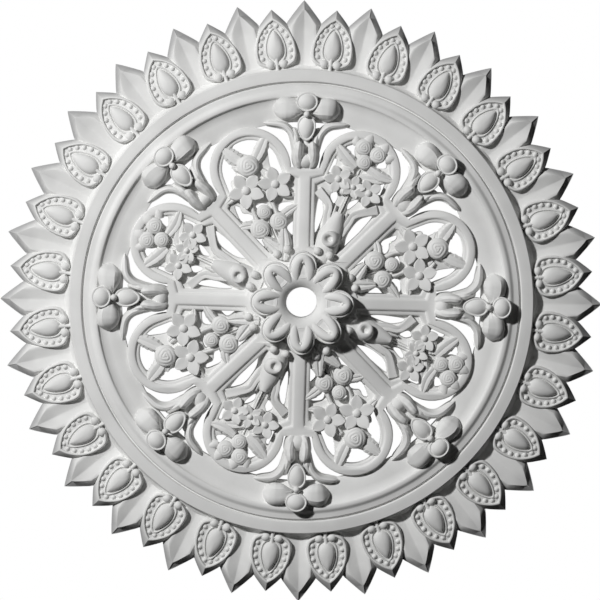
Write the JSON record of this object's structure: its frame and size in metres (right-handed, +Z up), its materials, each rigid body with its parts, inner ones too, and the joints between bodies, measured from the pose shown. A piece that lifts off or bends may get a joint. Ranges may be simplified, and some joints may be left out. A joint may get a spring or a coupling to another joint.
{
  "type": "ceiling rose",
  "caption": "Round pierced ceiling ornament with a toothed leaf border, a moulded ring, arched tracery filled with flowers and a petalled centre around a cable hole.",
  "frame": {"origin": "centre of the flat back, where the ornament meets the ceiling", "axes": "+Z up into the ceiling, carved face looking down along -Z, +Y towards the top of the ornament as it is pictured"},
  "size_m": [0.86, 0.86, 0.078],
  "materials": {
    "moulding": "matt white primer on a smooth moulding"
  },
  "bodies": {
    "root": {"ceiling_rose": "moulding"}
  },
  "joints": []
}
